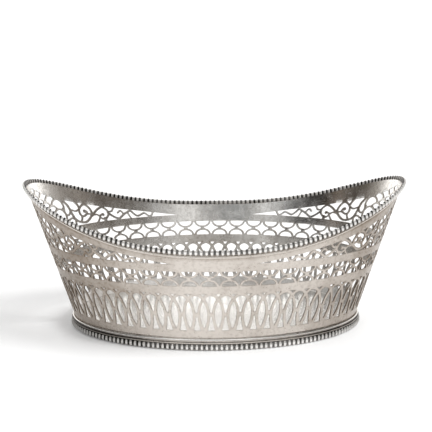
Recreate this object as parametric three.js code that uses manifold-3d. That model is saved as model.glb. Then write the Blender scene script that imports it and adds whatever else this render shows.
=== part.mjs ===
// Oval pierced silver bread basket on a low beaded foot. Millimetres, +Z up, +X along the length.
// The origin is the middle of the oval on the surface that the basket stands on.
// Two pierced half sheets, the same piece turned half round, meet in a seam at each narrow end.
// They stand on an oval floor plate, which lies on the foot's moulding, beads and flange. A plain
// wire and a beaded wire follow the wavy top edge on the outside.
import * as THREE from 'three';
import { mergeGeometries, mergeVertices } from 'three/addons/utils/BufferGeometryUtils.js';
import Module from 'manifold-3d';

const wasm = await Module();
wasm.setup();

// Clearances
const solderGap = 0.25; // left between pieces that are soldered together
const seamGap = 0.15; // half the gap between the two half sheets

// Oval wall, measured on its outer face
const ovalHalfLength = 109.2; // carried down to the table
const ovalHalfWidth = 77.5;
const flareOfEnds = 0.335; // how far the ends lean out for each millimetre of height
const flareOfSides = 0.195;
const sheetThickness = 1;

// Wavy rim, measured at the tops of its beads
const overallHeight = 114.3; // at the narrow ends
const rimRise = 34.9; // of the ends above the sides
const rimWaviness = 2.56; // power of the cosine that lifts the ends

// Rim wires
const rimBeadHeight = 4.4;
const rimBeadDepth = 2.4;
const rimBeadLap = 1.2; // how far the beads reach down over the sheet
const rimWireHeight = 2.6;
const rimWireDepth = 1.3;

// Foot, from the table up. The beads stand round the flange and the moulding and hide them.
const flangeThickness = 0.9;
const flangeWidth = 4.55;
const footBeadLift = 0.35; // clear of the table
const footBeadHeight = 4.6;
const footBeadDepth = 2.2;
const footReach = 2.7; // from the wall's lower edge out to the beads' faces
const mouldingWidth = 4.2;
const ridgeHeight = 1;
const ridgeReach = 2.1;
const coveHeight = 1.3;
const coveReach = 0.7;
const floorThickness = 1;
const floorReach = 1.5;
const floorRounding = 0.3;

// Piercing, from the floor up
const footBand = 6.4; // plain sheet below the chain of ovals
const chainLowerReach = 12.9; // from that band up to the middle of the ovals
const beltHeight = 5; // each of the two plain belts
const archZoneHeight = 12.6;
const rimBorder = 8.4; // plain sheet from its top edge to the upper belt, at the sides
const chainPitch = 10.81; // measured at the middle of the ovals
const chainStart = 0.6; // middle of the first oval, from the narrow end
const archPitch = 14.73; // measured half way up the arches
const archStart = -1; // first neck, from the narrow end
const crescentReach = 151; // from the narrow end, along the sheet
const crescentRise = 42.5; // to the point where its two sides would meet over the narrow end
const crescentTop = 38.5; // where that point is cut off level
const crescentStraightness = 0.54; // share of its slope that is straight
const seamStrip = 1.2; // least plain sheet beside a seam

// Holes, as shares of the pitch across and of the reach from the zone's middle to its edge
const pointedHole = { width: 0.48, height: 0.84 };
const upperBell = {
  foot: 0.09, slot: 0.074, waist: 0.097, waistUp: 0.45, shoulder: 0.38, shoulderUp: 0.77, crownUp: 1.08,
};
const lowerBell = {
  foot: 0.115, slot: 0.07, waist: 0.09, waistUp: 0.56, shoulder: 0.285, shoulderUp: 1, crownUp: 1,
};
const cornerHole = { width: 0.215, height: 0.2 };
const archHole = { width: 0.37, height: 0.7 };
const starHole = { width: 0.45, height: 0.93, hollow: 0.1 };

// Bars of the scrollwork
const scaleRadius = 7.3;
const scaleRowStep = 4.1;
const scaleBar = 1.5;
const scaleSteps = 4; // straight lengths in one scale
const lowestScaleRise = 1.2; // centre of the lowest scales above the upper belt
const scaleField = 43; // from the narrow end to the leaf that closes the scales
const stemBar = 2.1;
const tieBar = 2.6;
const scrollBar = 1.8;
const leafBar = 1.4;
const ballRadius = 1.4;

const turnSegments = 40; // round the whole oval, the same for every piece so that they nest
const silver = 0xd2cfc9;
const paleSilver = 0xdedbd5;
const greySilver = 0xbab8b3;

// Sizes that follow
const flangeReach = footReach - footBeadDepth - solderGap; // past the wall's lower edge
const ridgeBottom = footBeadLift + footBeadHeight + solderGap;
const mouldingTop = ridgeBottom + ridgeHeight + coveHeight;
const floorBottom = mouldingTop + solderGap;
const wallBottom = floorBottom + floorThickness + solderGap;
const rimHeightAtSides = overallHeight - rimRise;
const sheetTopDrop = rimBeadHeight - rimBeadLap;
const upperBeltTop = rimHeightAtSides - sheetTopDrop - rimBorder;
const archTop = upperBeltTop - beltHeight;
const archBottom = archTop - archZoneHeight;
const chainTop = archBottom - beltHeight;
const chainBottom = wallBottom + footBand;

const halfLengthAt = (z) => ovalHalfLength + flareOfEnds * z;
const halfWidthAt = (z) => ovalHalfWidth + flareOfSides * z;
const rimTopAt = (turn) => rimHeightAtSides + rimRise * Math.abs(Math.cos(turn)) ** rimWaviness;

// Lengths along half of the oval at one height, from the -X end round the back to the +X end
function halfOvalLengths(z, steps = 720) {
  const lengths = [0];
  for (let i = 1; i <= steps; i += 1) {
    const turn = (Math.PI * (i - 0.5)) / steps;
    const rate = Math.hypot(halfLengthAt(z) * Math.sin(turn), halfWidthAt(z) * Math.cos(turn));
    lengths.push(lengths[i - 1] + (rate * Math.PI) / steps);
  }
  return lengths;
}

// The sheet is drawn flat, x along it and y up, with x measured at this height
const drawingHeight = 85;
const drawnLengths = halfOvalLengths(drawingHeight);
const drawnLength = drawnLengths.at(-1);
const drawnQuarter = drawnLength / 2;

function turnAt(x) {
  let i = 1;
  while (i < drawnLengths.length - 1 && drawnLengths[i] < x) i += 1;
  const share = (x - drawnLengths[i - 1]) / (drawnLengths[i] - drawnLengths[i - 1]);
  return (Math.PI * (i - 1 + share)) / (drawnLengths.length - 1);
}

const sheetTopAt = (x) => rimTopAt(turnAt(x)) - sheetTopDrop;

// Columns of the bent sheet: one for each segment of the rings
const columns = [];
for (let i = 0; i <= turnSegments / 2; i += 1) {
  columns.push(drawnLengths[Math.round((i * 2 * (drawnLengths.length - 1)) / turnSegments)]);
}

// A shallow arch keeps the columns apart as separate faces while the flat sheet is cut
const foldDepth = 20;
const foldAtColumn = (x) => foldDepth * (x / drawnQuarter - 1) ** 2;

// The two columns on either side of x, and how far x is from the first to the second
function columnsBeside(x) {
  let i = 1;
  while (i < columns.length - 1 && columns[i] < x) i += 1;
  const share = (x - columns[i - 1]) / (columns[i] - columns[i - 1]);
  return { before: columns[i - 1], after: columns[i], share };
}

// Solids
function solidOf(geometry) {
  const bare = new THREE.BufferGeometry();
  bare.setAttribute('position', geometry.getAttribute('position'));
  bare.setIndex(geometry.getIndex());
  const merged = mergeVertices(bare, 1e-5);
  return new wasm.Manifold(new wasm.Mesh({
    numProp: 3,
    vertProperties: Float32Array.from(merged.getAttribute('position').array),
    triVerts: Uint32Array.from(merged.getIndex().array),
  }));
}

function geometryOf(solid) {
  const mesh = solid.getMesh();
  const geometry = new THREE.BufferGeometry();
  geometry.setAttribute('position', new THREE.BufferAttribute(Float32Array.from(mesh.vertProperties), 3));
  geometry.setIndex(new THREE.BufferAttribute(Uint32Array.from(mesh.triVerts), 1));
  return geometry;
}

// A drawn outline as a block that passes right through the folded sheet
function cutter(shape, curveSegments = 2, margin = 1) {
  const depth = foldDepth + sheetThickness + 2 * margin;
  const block = new THREE.ExtrudeGeometry(shape, { depth, curveSegments, bevelEnabled: false });
  return block.translate(0, 0, -margin);
}

function plainSheet() {
  const outer = columns.map((x) => new THREE.Vector2(x, -foldAtColumn(x)));
  const inner = columns.map((x) => new THREE.Vector2(x, -foldAtColumn(x) - sheetThickness)).reverse();
  const strip = new THREE.ExtrudeGeometry(new THREE.Shape([...outer, ...inner]), {
    depth: overallHeight,
    bevelEnabled: false,
  });
  strip.rotateX(-Math.PI / 2);
  const corner = (x, y) => new THREE.Vector2(THREE.MathUtils.clamp(x, seamGap, drawnLength - seamGap), y);
  const edge = [corner(0, wallBottom), corner(drawnLength, wallBottom)];
  for (const x of [...columns].reverse()) edge.push(corner(x, sheetTopAt(x)));
  return solidOf(strip).intersect(solidOf(cutter(new THREE.Shape(edge), 1, 2)));
}

// Places of a repeated pattern along the drawing, with the pitch measured at its own height
function places(start, pitch, z) {
  const across = (pitch * drawnLength) / halfOvalLengths(z).at(-1);
  const found = [];
  for (let x = start; x < drawnLength; x += across) found.push(x);
  return { found, across };
}

const clearOfSeams = (x, half) => x - half > seamStrip && x + half < drawnLength - seamStrip;

// A bell-shaped hole that narrows to a slot near the middle of the chain
function bellHole(x, middle, across, reach, share) {
  const foot = middle + reach * share.foot;
  const slot = across * share.slot;
  const shoulder = across * share.shoulder;
  const shoulderUp = middle + reach * share.shoulderUp;
  const waist = across * share.waist;
  const waistUp = middle + reach * share.waistUp;
  const bell = new THREE.Shape();
  bell.moveTo(x + slot, foot);
  bell.quadraticCurveTo(x + waist, waistUp, x + shoulder, shoulderUp);
  bell.quadraticCurveTo(x, middle + reach * share.crownUp, x - shoulder, shoulderUp);
  bell.quadraticCurveTo(x - waist, waistUp, x - slot, foot);
  bell.closePath();
  return cutter(bell);
}

// Chain of tall ovals that overlap by half: a pointed hole where two of them cross, a bell-shaped
// one above and below each crossing of their neighbours, and a small three-cornered one on top.
function chainHoles() {
  const middle = chainBottom + chainLowerReach;
  const upperReach = chainTop - middle;
  const { found, across } = places(chainStart, chainPitch, middle);
  const holes = [];
  for (const x of found) {
    const crossing = x + across / 2;
    const side = across * cornerHole.width;
    if (clearOfSeams(crossing, side)) {
      const belly = across * pointedHole.width;
      const tip = chainLowerReach * pointedHole.height;
      const pointed = new THREE.Shape();
      pointed.moveTo(crossing, middle - tip);
      pointed.quadraticCurveTo(crossing + belly, middle, crossing, middle + tip);
      pointed.quadraticCurveTo(crossing - belly, middle, crossing, middle - tip);
      const corner = new THREE.Shape();
      corner.moveTo(crossing, chainTop - upperReach * cornerHole.height);
      corner.lineTo(crossing + side, chainTop);
      corner.lineTo(crossing - side, chainTop);
      holes.push(cutter(pointed, 3), cutter(corner));
    }
    if (clearOfSeams(x, across * upperBell.shoulder)) {
      holes.push(bellHole(x, middle, across, upperReach, upperBell));
      holes.push(bellHole(x, middle, across, -chainLowerReach, lowerBell));
    }
  }
  return holes;
}

// Arches hang from the upper belt and rise from the lower one, joined top to top by short necks:
// a half-round hole in each arch, and a four-pointed star between four arches.
function archHoles() {
  const middle = (archTop + archBottom) / 2;
  const reach = (archTop - archBottom) / 2;
  const { found, across } = places(archStart, archPitch, middle);
  const holes = [];
  for (const x of found) {
    const half = across * archHole.width;
    const rise = reach * archHole.height;
    if (clearOfSeams(x, half)) {
      const lower = new THREE.Shape().absellipse(x, archBottom, half, rise, 0, Math.PI, false);
      const upper = new THREE.Shape().absellipse(x, archTop, half, rise, Math.PI, 2 * Math.PI, false);
      holes.push(cutter(lower), cutter(upper));
    }
    const centre = x + across / 2;
    const side = across * starHole.width;
    if (clearOfSeams(centre, side)) {
      const star = new THREE.Shape();
      const tip = reach * starHole.height;
      const hollow = across * starHole.hollow;
      star.moveTo(centre - side, middle);
      star.quadraticCurveTo(centre - hollow, middle - hollow, centre, middle - tip);
      star.quadraticCurveTo(centre + hollow, middle - hollow, centre + side, middle);
      star.quadraticCurveTo(centre + hollow, middle + hollow, centre, middle + tip);
      star.quadraticCurveTo(centre - hollow, middle + hollow, centre - side, middle);
      holes.push(cutter(star));
    }
  }
  return holes;
}

// Crescents: open fields between the upper belt and the rim's border, filled with bars
function crescentTopAt(x) {
  const left = 1 - x / crescentReach;
  const slope = crescentStraightness * left + (1 - crescentStraightness) * left ** 3;
  return upperBeltTop + Math.min(crescentRise * slope, crescentTop);
}

function crescentField() {
  const edge = [new THREE.Vector2(seamStrip, upperBeltTop), new THREE.Vector2(crescentReach, upperBeltTop)];
  const steps = 22;
  for (let i = steps - 1; i >= 0; i -= 1) {
    const x = seamStrip + (crescentReach - seamStrip) * (i / steps);
    edge.push(new THREE.Vector2(x, crescentTopAt(x)));
  }
  return new THREE.Shape(edge);
}

// A place in the openwork: hundredths of the crescent's reach from the narrow end, and hundredths
// of its rise above the upper belt
const inCrescent = ([x, y]) => (
  new THREE.Vector2((x / 100) * crescentReach, upperBeltTop + (y / 100) * crescentRise));

// A bar of one width along a smooth line through such places
function bar(points, width, steps) {
  const line = new THREE.SplineCurve(points.map(inCrescent));
  const left = [];
  const right = [];
  for (let i = 0; i <= steps; i += 1) {
    const at = line.getPoint(i / steps);
    const way = line.getTangent(i / steps);
    const aside = new THREE.Vector2(-way.y, way.x).multiplyScalar(width / 2);
    left.push(at.clone().add(aside));
    right.push(at.clone().sub(aside));
  }
  return new THREE.Shape([...right, ...left.reverse()]);
}

function ball(point) {
  const { x, y } = inCrescent(point);
  return new THREE.Shape().absellipse(x, y, ballRadius, ballRadius, 0, 2 * Math.PI, false);
}

// Overlapping scales: each arch ends where it meets the two below it. Beside the leaf the last arch
// of a row runs on down to the arch two rows below.
function scaleBars() {
  const bars = [];
  const spring = Math.acos(Math.hypot(scaleRadius, scaleRowStep) / (2 * scaleRadius))
    - Math.atan2(scaleRowStep, scaleRadius);
  const lastSpring = -Math.asin(scaleRowStep / scaleRadius);
  const rows = Math.ceil(crescentTop / scaleRowStep);
  const arch = (x, y, radius) => {
    const first = x + scaleRadius > scaleField ? lastSpring : spring;
    const points = [];
    for (let i = 0; i <= scaleSteps; i += 1) {
      const turn = first + ((Math.PI - spring - first) * i) / scaleSteps;
      points.push(new THREE.Vector2(x + radius * Math.cos(turn), y + radius * Math.sin(turn)));
    }
    return points;
  };
  for (let row = -1; row < rows; row += 1) {
    const y = upperBeltTop + lowestScaleRise + row * scaleRowStep;
    for (let x = row % 2 === 0 ? scaleRadius : 0; x < scaleField; x += 2 * scaleRadius) {
      const outer = arch(x, y, scaleRadius + scaleBar / 2);
      const inner = arch(x, y, scaleRadius - scaleBar / 2);
      bars.push(new THREE.Shape([...outer, ...inner.reverse()]));
    }
  }
  return bars;
}

// Stem and leaf that close the scales, two C-scrolls with ball ends and leaves, and the wave that
// runs out to the point
function scrollBars() {
  return [
    bar([[28.6, 58.8], [32, 43.3], [33.2, 26.8], [34.6, 16], [37.7, 6.8], [41.4, 4], [44.7, 8.5],
      [47.2, 16.5]], stemBar, 11),
    bar([[28.1, 39.1], [29, 28.7], [30.7, 23.8], [33.2, 30.6]], leafBar, 5),
    bar([[27.2, 7.5], [29.4, 12.7], [32.2, 16.7], [34.5, 13.2]], leafBar, 4),
    bar([[34.8, 14.4], [34.4, -1.4]], leafBar, 1),
    bar([[47.2, 15.5], [47.1, 22.1], [46, 30.6], [43.8, 37.6], [41.5, 36.6], [39.3, 29.2], [39.2, 21.9],
      [40.1, 17.2], [42, 15.8], [43.9, 20.2], [42.8, 24.5]], scrollBar, 13),
    bar([[43.3, 18.6], [45.3, 18.6], [47, 14.8]], leafBar, 2),
    bar([[40, 17.4], [39.7, 11.1], [38.4, 6.1]], leafBar, 2),
    bar([[33.2, 32.9], [36.6, 28.2], [39.6, 31.3]], leafBar, 3),
    bar([[37.2, 48], [39.2, 38.1], [39.6, 31.3]], scrollBar, 2),
    bar([[47.2, 14.4], [50.3, 23.1], [54, 27.5], [57.2, 19.5], [57.4, 12], [55.4, 4.9], [53.1, 5.6],
      [52.1, 9.9], [53.8, 13.4]], scrollBar, 12),
    bar([[47.5, 15.1], [50.3, 14.4], [51.8, 9.4], [49.1, -1.4]], leafBar, 4),
    bar([[55, 5.6], [55.1, -1.4]], tieBar, 1),
    bar([[57.4, 15.5], [59.7, 8.7], [63.8, 2.6], [67.5, 10.1], [71.2, 14.1], [75.2, 4], [79.5, 7.8],
      [82.6, 1.4]], scrollBar, 12),
    bar([[57.6, 17.9], [59.8, 17.6], [61.5, 24.9]], leafBar, 2),
    bar([[63.4, 12.9], [65, 16.9], [66.8, 8.5]], leafBar, 3),
    bar([[69.4, 12], [71.3, -1.4]], leafBar, 1),
    bar([[83.2, 0.9], [84.9, 9.9]], leafBar, 1),
  ];
}

function crescentCutter() {
  const bars = [...scaleBars(), ...scrollBars(), ball([42.8, 24.5]), ball([54, 13.4])];
  const joined = bars.map((shape) => solidOf(cutter(shape, 3, 3))).reduce((all, one) => all.add(one));
  return geometryOf(solidOf(cutter(crescentField())).subtract(joined));
}

// The same crescent from the other end of the sheet
function mirroredAlong(geometry) {
  const turned = geometry.clone();
  const position = turned.getAttribute('position');
  for (let i = 0; i < position.count; i += 1) position.setX(i, drawnLength - position.getX(i));
  turned.setIndex([...turned.getIndex().array].reverse());
  return turned;
}

// Bends the cut sheet onto the flaring oval, flat between its columns
function bend(geometry) {
  const position = geometry.getAttribute('position');
  const onColumn = (x, z, inward) => new THREE.Vector3(
    -(halfLengthAt(z) - inward) * Math.cos(turnAt(x)),
    (halfWidthAt(z) - inward) * Math.sin(turnAt(x)),
    z,
  );
  for (let i = 0; i < position.count; i += 1) {
    const { before, after, share } = columnsBeside(position.getX(i));
    const z = position.getY(i);
    const fold = THREE.MathUtils.lerp(foldAtColumn(before), foldAtColumn(after), share);
    const inward = position.getZ(i) - fold;
    const bent = onColumn(before, z, inward).lerp(onColumn(after, z, inward), share);
    position.setXYZ(i, bent.x, bent.y, bent.z);
  }
  return geometry;
}

function halfWall() {
  const crescent = crescentCutter();
  const holes = solidOf(mergeGeometries([...chainHoles(), ...archHoles()]));
  const cut = plainSheet()
    .subtract(holes)
    .subtract(solidOf(crescent))
    .subtract(solidOf(mirroredAlong(crescent)));
  return bend(geometryOf(cut));
}

// A ring round the oval: a closed section of [distance past the wall's face, height] points
function ovalRing(section, baseAt) {
  const carrier = 100;
  const profile = [...section, section[0]].map(([out, up]) => new THREE.Vector2(carrier + out, up));
  const ring = new THREE.LatheGeometry(profile, turnSegments);
  const position = ring.getAttribute('position');
  for (let i = 0; i < position.count; i += 1) {
    const turn = Math.atan2(position.getX(i), position.getZ(i));
    const out = Math.hypot(position.getX(i), position.getZ(i)) - carrier;
    const { height, face } = baseAt(turn, position.getY(i));
    position.setXYZ(
      i,
      (halfLengthAt(face) + out) * Math.cos(turn),
      (halfWidthAt(face) + out) * Math.sin(turn),
      height,
    );
  }
  return geometryOf(solidOf(ring));
}

// Rim pieces follow the wave and the leaning wall, foot pieces stand straight under it
const alongRim = (turn, up) => ({ height: rimTopAt(turn) + up, face: rimTopAt(turn) + up });
const alongFoot = (turn, up) => ({ height: up, face: wallBottom });

function rimBeadWire() {
  const near = solderGap;
  const far = near + rimBeadDepth;
  const middle = (near + far) / 2;
  const round = rimBeadDepth / 3;
  return ovalRing([
    [middle, -rimBeadHeight],
    [far, -rimBeadHeight + round],
    [far, -round],
    [middle, 0],
    [near, -round],
    [near, -rimBeadHeight + round],
  ], alongRim);
}

function rimWire() {
  const top = -rimBeadHeight - solderGap;
  const near = solderGap;
  const far = near + rimWireDepth;
  return ovalRing([
    [near, top - rimWireHeight],
    [far - rimWireDepth / 3, top - rimWireHeight],
    [far, top - rimWireHeight / 2],
    [far - rimWireDepth / 3, top],
    [near, top],
  ], alongRim);
}

function footBeadWire() {
  const near = footReach - footBeadDepth;
  const middle = (near + footReach) / 2;
  const round = footBeadDepth / 3;
  const top = footBeadLift + footBeadHeight;
  return ovalRing([
    [middle, footBeadLift],
    [footReach, footBeadLift + round],
    [footReach, top - round],
    [middle, top],
    [near, top - round],
    [near, footBeadLift + round],
  ], alongFoot);
}

function footMoulding() {
  const inside = flangeReach - mouldingWidth;
  const bottom = flangeThickness + solderGap;
  return ovalRing([
    [inside, bottom],
    [flangeReach, bottom],
    [flangeReach, ridgeBottom],
    [ridgeReach, ridgeBottom],
    [ridgeReach, ridgeBottom + ridgeHeight],
    [coveReach, ridgeBottom + ridgeHeight + coveHeight / 3],
    [coveReach, mouldingTop],
    [inside, mouldingTop],
  ], alongFoot);
}

function footFlange() {
  return ovalRing([
    [flangeReach - flangeWidth, 0],
    [flangeReach, 0],
    [flangeReach, flangeThickness],
    [flangeReach - flangeWidth, flangeThickness],
  ], alongFoot);
}

function floorPlate() {
  const outline = new THREE.Shape().absellipse(
    0, 0,
    halfLengthAt(wallBottom) + floorReach - floorRounding,
    halfWidthAt(wallBottom) + floorReach - floorRounding,
    0, 2 * Math.PI, false);
  const plate = new THREE.ExtrudeGeometry(outline, {
    depth: floorThickness - 2 * floorRounding,
    bevelThickness: floorRounding,
    bevelSize: floorRounding,
    bevelSegments: 1,
    curveSegments: turnSegments / 2,
  });
  return geometryOf(solidOf(plate.translate(0, 0, floorBottom + floorRounding)));
}

function piece(name, geometry, color, roughness) {
  geometry.computeVertexNormals();
  const mesh = new THREE.Mesh(geometry, new THREE.MeshStandardMaterial({ color, roughness, metalness: 1 }));
  mesh.name = name;
  return mesh;
}

const basket = new THREE.Group();
const wallBack = piece('wall_back', halfWall(), silver, 0.32);
const wallFront = piece('wall_front', wallBack.geometry.clone(), silver, 0.32);
wallFront.rotation.z = Math.PI;
basket.add(
  wallBack,
  wallFront,
  piece('rim_bead_wire', rimBeadWire(), paleSilver, 0.25),
  piece('rim_fillet_wire', rimWire(), paleSilver, 0.28),
  piece('floor_plate', floorPlate(), greySilver, 0.35),
  piece('foot_moulding', footMoulding(), greySilver, 0.3),
  piece('foot_bead_wire', footBeadWire(), paleSilver, 0.25),
  piece('foot_flange', footFlange(), greySilver, 0.3),
);

export default basket;
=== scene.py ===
"""Oval pierced silver bread basket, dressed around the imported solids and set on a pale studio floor."""

import math

import bpy
import numpy as np
from bpy.props import FloatProperty, FloatVectorProperty, IntProperty, PointerProperty
from bpy.types import Operator, Panel, PropertyGroup
from mathutils import Matrix, Vector


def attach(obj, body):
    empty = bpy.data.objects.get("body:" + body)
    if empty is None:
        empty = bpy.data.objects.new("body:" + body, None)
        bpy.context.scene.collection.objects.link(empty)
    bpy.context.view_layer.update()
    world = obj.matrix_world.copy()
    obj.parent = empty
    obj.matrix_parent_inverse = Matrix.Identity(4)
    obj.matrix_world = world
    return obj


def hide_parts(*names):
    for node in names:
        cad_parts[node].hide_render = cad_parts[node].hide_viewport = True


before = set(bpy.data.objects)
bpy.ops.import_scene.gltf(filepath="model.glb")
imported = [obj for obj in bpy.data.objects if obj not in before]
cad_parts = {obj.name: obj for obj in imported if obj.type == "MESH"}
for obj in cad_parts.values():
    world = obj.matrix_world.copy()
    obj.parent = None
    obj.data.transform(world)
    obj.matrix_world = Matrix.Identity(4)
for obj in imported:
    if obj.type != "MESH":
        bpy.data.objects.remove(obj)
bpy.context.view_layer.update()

bl_info = {
    "name": "Pierced Bread Basket",
    "version": (1, 0, 0),
    "blender": (4, 5, 0),
    "location": "3D View > Sidebar > Basket",
    "description": "Makes a pierced oval silver bread basket and the studio it stands in",
    "category": "Object",
}


# Sizes and colours


def number_setting(name, description, default):
    return FloatProperty(name=name, description=description, default=default)


def length_setting(name, description, default):
    return FloatProperty(name=name, description=description, default=default, unit="LENGTH")


def colour_setting(name, description, default):
    return FloatVectorProperty(
        name=name, description=description, default=default, subtype="COLOR", size=3, min=0, max=1)


class BasketWall(PropertyGroup):
    half_length: length_setting("Half length", "Half the oval's length, carried down to the table", 0.1092)
    half_width: length_setting("Half width", "Half the oval's width, carried down to the table", 0.0775)
    lean_of_ends: number_setting("Lean of the ends", "How far they lean out for their height", 0.335)
    lean_of_sides: number_setting("Lean of the sides", "How far they lean out for their height", 0.195)
    thickness: length_setting("Sheet", "Thickness of the sheet", 0.001)
    edge_softness: length_setting("Edge softness", "How far the cut edges are rubbed down", 0.00012)
    bottom: length_setting("Lower edge", "Height of the sheet's lower edge", 0.009)
    rim_height: length_setting("Rim at the sides", "Height of the bead tops at the sides", 0.0794)
    rim_rise: length_setting("Rise to the ends", "How much higher the rim is at the narrow ends", 0.0349)
    rim_wave: number_setting("Wave", "Power of the cosine that lifts the ends", 2.56)
    rim_drop: length_setting("Sheet under the beads", "From the bead tops down to the sheet's edge", 0.0032)


class BasketPiercing(PropertyGroup):
    chain_bottom: length_setting("Chain, lower edge", "Height of the foot band's upper edge", 0.0154)
    chain_middle: length_setting("Chain, middle", "Height at which the tall ovals are widest", 0.0283)
    chain_top: length_setting("Chain, upper edge", "Height of the lower belt's lower edge", 0.0446)
    arch_bottom: length_setting("Arches, lower edge", "Height of the lower belt's upper edge", 0.0508)
    arch_top: length_setting("Arches, upper edge", "Height of the upper belt's lower edge", 0.0622)
    crescent_bottom: length_setting("Crescents, lower edge", "Height of the upper belt's upper edge", 0.0678)
    chain_pitch: length_setting("Oval spacing", "From one tall oval to the next", 0.01081)
    chain_start: length_setting("First oval", "Middle of the first tall oval, from the seam", 0.0006)
    arch_pitch: length_setting("Arch spacing", "From one arch to the next", 0.01473)
    arch_start: length_setting("First arch", "Middle of the first arch, from the seam", -0.001)
    crescent_rise: length_setting(
        "Crescent height", "To where the crescent's two sides would meet over the narrow end", 0.0425)
    crescent_top: length_setting(
        "Crescent top", "Height over the belt at which it is cut off level at the narrow end", 0.0385)
    crescent_reach: length_setting("Crescent reach", "Length of the openwork along the sheet", 0.151)
    crescent_straightness: number_setting(
        "Straightness", "Share of the crescent's slope that is straight", 0.54)
    scale_radius: length_setting("Scale radius", "Radius of the fish scales", 0.0073)
    bar: length_setting("Bar", "Width of the scales", 0.0015)
    cell: length_setting("Finest cell", "Spacing along the sheet of the grid that it is cut on", 0.00089)


class BasketWires(PropertyGroup):
    rim_beads: IntProperty(name="Rim beads", description="Beads round the rim", default=204)
    foot_beads: IntProperty(name="Foot beads", description="Beads round the foot", default=167)
    bead_width: length_setting("Bead width", "Width of one rim bead along the wire", 0.0024)
    rim_bead_height: length_setting("Rim bead height", "Height of one rim bead", 0.0044)
    rim_bead_depth: length_setting("Rim bead depth", "How far the rim beads stand out", 0.0025)
    foot_bead_height: length_setting("Foot bead height", "Height of one foot bead", 0.0046)
    foot_bead_depth: length_setting("Foot bead depth", "How far the foot beads stand out", 0.0022)
    clearance: length_setting("Clearance", "Left between the wall and the wires round its rim", 0.0002)


class BasketFinish(PropertyGroup):
    outer_silver: colour_setting("Outer silver", "Colour of the handled outside", (0.665, 0.615, 0.565))
    inner_silver: colour_setting("Inner silver", "Colour of the inside of the walls", (0.90, 0.895, 0.88))
    floor_silver: colour_setting("Bottom", "Colour of the polished bottom", (0.93, 0.92, 0.90))
    bright_silver: colour_setting("Bright silver", "Colour of the rubbed beads", (0.94, 0.925, 0.90))
    # This colour also takes the painted shade on the walls and the bottom
    tarnish_and_shade: colour_setting("Tarnish", "Colour of the old tarnish", (0.20, 0.155, 0.115))
    # The grooves colour is the painted shade in the grooves, and also tints the tarnished clouds on the beads
    # and the foot
    grooves: colour_setting("Grooves", "Colour of the dirt in the grooves", (0.03, 0.027, 0.025))


class BasketStage(PropertyGroup):
    floor: colour_setting("Floor", "Colour of the floor", (0.93, 0.93, 0.93))
    sky: number_setting("Sky", "Strength of the plain light from all round", 0.69)
    key: number_setting("Main light", "Strength of the soft light from the right", 2.25)


# Shapes, worked out in millimetres


def mm(length):
    return length * 1000.0


class Oval:
    """The leaning oval that every piece follows.

    At height z its half axes are half length + lean of the ends * z and half width + lean of the sides * z.
    The rim's bead tops stand at rim height + rise * |cos(turn)| ** wave, with turn 0 at a narrow end.
    """

    def __init__(self, wall):
        self.half_length, self.half_width = mm(wall.half_length), mm(wall.half_width)
        self.lean_of_ends, self.lean_of_sides = wall.lean_of_ends, wall.lean_of_sides
        self.rim_height, self.rim_rise, self.rim_wave = mm(wall.rim_height), mm(wall.rim_rise), wall.rim_wave
        self.rim_drop = mm(wall.rim_drop)
        self.bottom = mm(wall.bottom)

    def half_axes(self, z):
        return self.half_length + self.lean_of_ends * z, self.half_width + self.lean_of_sides * z

    def rim_top(self, turn):
        return self.rim_height + self.rim_rise * np.abs(np.cos(turn)) ** self.rim_wave

    def sheet_top(self, turn):
        return self.rim_top(turn) - self.rim_drop

    def half_round(self, z, steps=2000):
        """Turns from 0 to pi and the lengths along the oval up to each of them, at height z."""
        turn = np.linspace(0.0, math.pi, steps + 1)
        long_axis, short_axis = self.half_axes(z)
        middle = (turn[1:] + turn[:-1]) / 2
        pieces = np.hypot(long_axis * np.sin(middle), short_axis * np.cos(middle)) * (math.pi / steps)
        return turn, np.concatenate([[0.0], np.cumsum(pieces)])

    def around(self, turn, face_z, out, z):
        """Points at height z and at a turn from the +X end. They stand out from where the wall's outer face
        is at height face_z."""
        long_axis, short_axis = self.half_axes(face_z)
        return np.stack(np.broadcast_arrays(
            (long_axis + out) * np.cos(turn), (short_axis + out) * np.sin(turn), z), axis=-1)


def smooth_line(points, steps):
    """A line through the points: between two of them the Catmull-Rom cubic, which leaves each point
    parallel to the chord of its neighbours."""
    p = np.array(points, float)
    p = np.vstack([2 * p[0] - p[1], p, 2 * p[-1] - p[-2]])
    t = np.arange(steps)[:, None, None] / steps
    a, b, c, d = p[:-3], p[1:-2], p[2:-1], p[3:]
    cubic = 0.5 * (2 * b + (c - a) * t + (2 * a - 5 * b + 4 * c - d) * t ** 2
                   + (3 * b - a - 3 * c + d) * t ** 3)
    return np.vstack([np.swapaxes(cubic, 0, 1).reshape(-1, p.shape[1]), p[-2]])


def bar_metal(x, z, line, widths):
    """How deep (x, z) lies in a bar: its half width less the distance to the nearest point of the line.
    The half width runs evenly along each straight length of the line."""
    start, end = line[:-1], line[1:]
    way = end - start
    dx, dz = x[..., None] - start[:, 0], z[..., None] - start[:, 1]
    along = np.clip((dx * way[:, 0] + dz * way[:, 1]) / np.maximum((way ** 2).sum(1), 1e-9), 0, 1)
    half = (widths[:-1] + along * (widths[1:] - widths[:-1])) / 2
    return (half - np.hypot(dx - along * way[:, 0], dz - along * way[:, 1])).max(-1)


# Metal value of a place where no hole is cut
SOLID = 5.0
# Holes that stand on a belt are cut this much into it, so that the grid's row on the belt's edge is open
EDGE = 0.1


def rounded_oval_gap(dx, dz, across, up, power):
    """About how far (dx, dz) lies outside the oval |dx / across| ** power + |dz / up| ** power = 1:
    the oval's own measure less one, over the slope of that measure."""
    u, v = np.maximum(np.abs(dx) / across, 1e-6), np.maximum(np.abs(dz) / up, 1e-6)
    size = (u ** power + v ** power) ** (1 / power)
    slope = size ** (1 - power) * np.hypot(u ** (power - 1) / across, v ** (power - 1) / up)
    return (size - 1) / slope


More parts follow.
